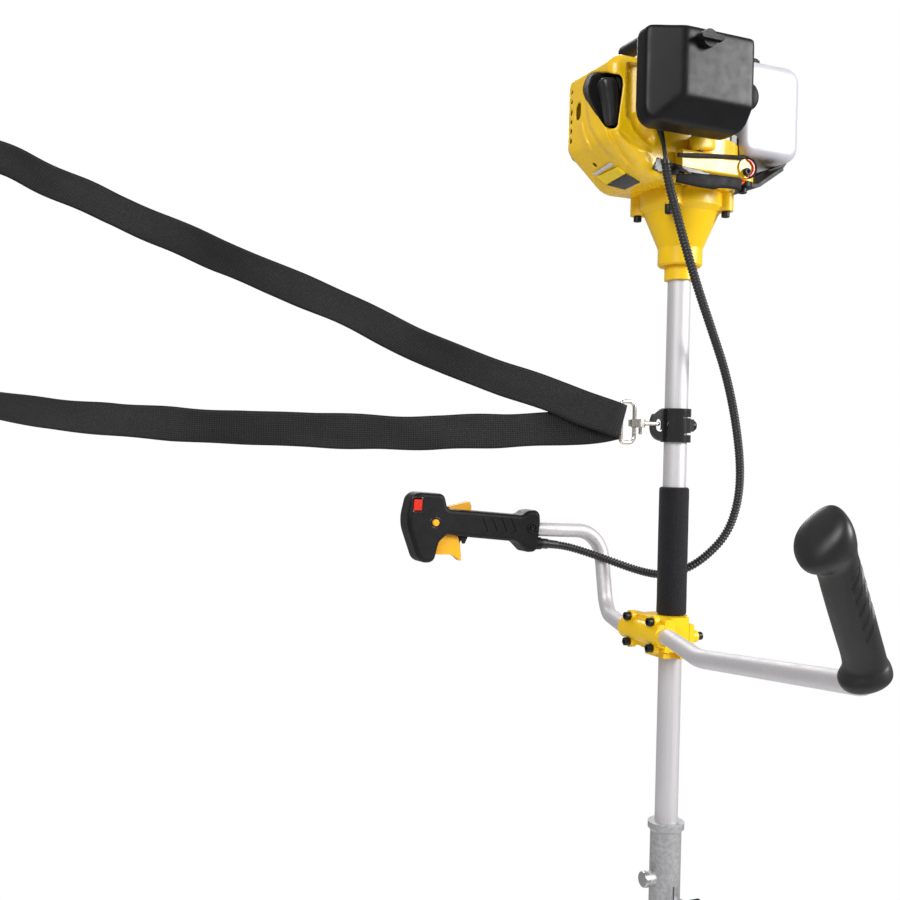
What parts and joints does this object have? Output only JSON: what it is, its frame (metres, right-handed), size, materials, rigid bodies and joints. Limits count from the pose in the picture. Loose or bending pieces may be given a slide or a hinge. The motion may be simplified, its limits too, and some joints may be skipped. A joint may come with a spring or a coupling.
{
  "type": "string trimmer",
  "caption": "Petrol string trimmer with a long split shaft, bike-style handlebar with throttle handle and grip, shoulder strap on a harness clamp, guard and line head.",
  "frame": {"origin": "on the shaft axis, in the lower face of the clutch housing collar", "axes": "+Z along the shaft towards the engine, -X towards the upper side of the machine when it is carried, +Y towards the user's right"},
  "size_m": [1.0522, 0.8889, 1.9227],
  "materials": {
    "yellow_paint": "gloss",
    "yellow_plastic": "gloss",
    "orange_plastic": "satin",
    "black_plastic": "satin",
    "black_gloss": "gloss",
    "black_rubber": "matte",
    "foam": "matte",
    "silver_tube": "satin",
    "black_steel": "satin",
    "steel": "satin",
    "nickel": "gloss",
    "cast_aluminium": "matte",
    "tank_white": "satin",
    "webbing": "matte",
    "red_plastic": "gloss",
    "conduit": "satin",
    "line_nylon": "gloss",
    "porcelain": "gloss"
  },
  "bodies": {
    "machine": {"clutch_housing": "yellow_paint", "socket_screws": "black_steel", "fan_housing": "yellow_plastic", "cylinder_cover": "yellow_plastic", "crankcase": "cast_aluminium", "cylinder": "cast_aluminium", "spark_plug": "porcelain", "spark_plug_boot": "black_rubber", "muffler": "steel", "muffler_cover": "black_plastic", "carburettor": "cast_aluminium", "air_filter_base": "black_plastic", "air_filter_cover": "black_plastic", "fuel_tank": "tank_white", "tank_stand": "black_plastic", "starter_housing": "yellow_plastic", "upper_tube": "silver_tube", "upper_bushes": "black_rubber", "harness_clamp": "black_gloss", "snap_hook": "nickel", "strap_ring": "nickel", "shoulder_strap": "webbing", "foam_sleeve": "foam", "bracket_base": "yellow_paint", "bracket_bar_cap": "yellow_paint", "bracket_shaft_cap": "yellow_paint", "handlebar": "silver_tube", "left_grip": "black_rubber", "handle_left_shell": "black_plastic", "handle_right_shell": "black_plastic", "throttle_cable": "conduit", "shaft_coupling": "cast_aluminium"},
    "drive": {"clutch_drum": "steel", "upper_drive_shaft": "steel"},
    "crank": {"crankshaft": "steel", "flywheel": "cast_aluminium", "clutch_shoes": "steel"},
    "throttle": {"throttle_trigger": "orange_plastic"},
    "arm": {"throttle_arm": "steel"},
    "lock_off": {"lock_off_lever": "orange_plastic"},
    "half_throttle": {"throttle_lock_button": "orange_plastic"},
    "switch": {"stop_switch": "red_plastic"},
    "pull": {"starter_handle": "black_plastic"},
    "choke": {"choke_lever": "black_plastic"},
    "cover_knob": {"filter_cover_knob": "black_plastic"},
    "primer": {"primer_bulb": "black_rubber"},
    "cap": {"fuel_cap": "black_plastic"},
    "gate": {"hook_gate": "nickel"},
    "clamp_knob": {"coupling_knob": "black_plastic"},
    "lock_pin": {"coupling_lock_button": "steel"},
    "lower_unit": {"lower_tube": "silver_tube", "lower_bushes": "black_rubber", "gearbox_housing": "cast_aluminium", "debris_guard": "black_plastic", "guard_fittings": "black_steel"},
    "lower_drive": {"lower_drive_shaft": "steel"},
    "head": {"output_shaft": "steel", "trimmer_head": "black_plastic", "nylon_line": "line_nylon"},
    "bump": {"bump_knob": "black_plastic"}
  },
  "joints": [
    {"name": "drive_spin", "type": "hinge", "parent": "machine", "child": "drive", "pos_m": [0, 0, 0], "axis": [0, 0, 1], "continuous": true},
    {"name": "crank_spin", "type": "hinge", "parent": "machine", "child": "crank", "pos_m": [0, 0, 0.15], "axis": [0, 0, 1], "continuous": true},
    {"name": "trigger_squeeze", "type": "hinge", "parent": "machine", "child": "throttle", "pos_m": [-0.229, 0.15, -0.2975], "axis": [0, -1, 0], "range_deg": [0, 14], "stiffness_Nm_per_rad": 0.8, "springref_deg": -8},
    {"name": "arm_swing", "type": "hinge", "parent": "machine", "child": "arm", "pos_m": [-0.081, -0.072, 0.172], "axis": [-1, 0, 0], "range_deg": [0, 42]},
    {"name": "lock_off_press", "type": "hinge", "parent": "machine", "child": "lock_off", "pos_m": [-0.212, 0.15, -0.2725], "axis": [0, 1, 0], "range_deg": [0, 14], "stiffness_Nm_per_rad": 0.3, "springref_deg": -8},
    {"name": "lock_button_press", "type": "slide", "parent": "machine", "child": "half_throttle", "axis": [0, 1, 0], "range_m": [0, 0.0028], "stiffness_N_per_m": 400, "springref_m": -0.003},
    {"name": "switch_rock", "type": "hinge", "parent": "machine", "child": "switch", "pos_m": [-0.2587, 0.138, -0.2623], "axis": [1, 0, 0], "range_deg": [0, 14]},
    {"name": "starter_pull", "type": "slide", "parent": "machine", "child": "pull", "axis": [-1, 0, 0], "range_m": [0, 0.7], "stiffness_N_per_m": 8, "springref_m": -0.25},
    {"name": "choke_turn", "type": "hinge", "parent": "machine", "child": "choke", "pos_m": [-0.018, -0.084, 0.196], "axis": [0, 1, 0], "range_deg": [-24, 0]},
    {"name": "cover_knob_turn", "type": "hinge", "parent": "machine", "child": "cover_knob", "pos_m": [-0.063, -0.124, 0.222], "axis": [0, -1, 0], "range_deg": [0, 1080]},
    {"name": "primer_press", "type": "slide", "parent": "machine", "child": "primer", "axis": [-1, 0, 0], "range_m": [0, 0.001], "stiffness_N_per_m": 2000, "springref_m": -0.0005},
    {"name": "cap_turn", "type": "hinge", "parent": "machine", "child": "cap", "pos_m": [0.084, 0.003, 0.2475], "axis": [0, 0, 1], "range_deg": [0, 720]},
    {"name": "gate_open", "type": "hinge", "parent": "machine", "child": "gate", "pos_m": [-0.049, 0.006, -0.1633], "axis": [0, 0, -1], "range_deg": [0, 20], "stiffness_Nm_per_rad": 0.02, "springref_deg": -10},
    {"name": "clamp_knob_turn", "type": "hinge", "parent": "machine", "child": "clamp_knob", "pos_m": [0.0113, -0.026, -0.708], "axis": [1, 0, 0], "range_deg": [0, 1080]},
    {"name": "lock_pin_pull", "type": "slide", "parent": "machine", "child": "lock_pin", "axis": [-1, 0, 0], "range_m": [0, 0.006], "stiffness_N_per_m": 900, "springref_m": -0.004},
    {"name": "shaft_parting", "type": "slide", "parent": "machine", "child": "lower_unit", "axis": [0, 0, -1], "range_m": [0, 0.07]},
    {"name": "lower_drive_spin", "type": "hinge", "parent": "lower_unit", "child": "lower_drive", "pos_m": [0, 0, -1], "axis": [0, 0, 1], "continuous": true},
    {"name": "head_spin", "type": "hinge", "parent": "lower_unit", "child": "head", "pos_m": [0, 0, -1.49], "axis": [0.8387, 0, -0.5446], "continuous": true},
    {"name": "bump_press", "type": "slide", "parent": "head", "child": "bump", "axis": [-0.8387, 0, 0.5446], "range_m": [0, 0.006], "stiffness_N_per_m": 1500, "springref_m": -0.004}
  ],
  "couplings": [
    {"joint": "drive_spin", "follows": "head_spin", "ratio": 1.2667},
    {"joint": "lower_drive_spin", "follows": "head_spin", "ratio": 1.2667},
    {"joint": "arm_swing", "follows": "trigger_squeeze", "ratio": 3}
  ]
}
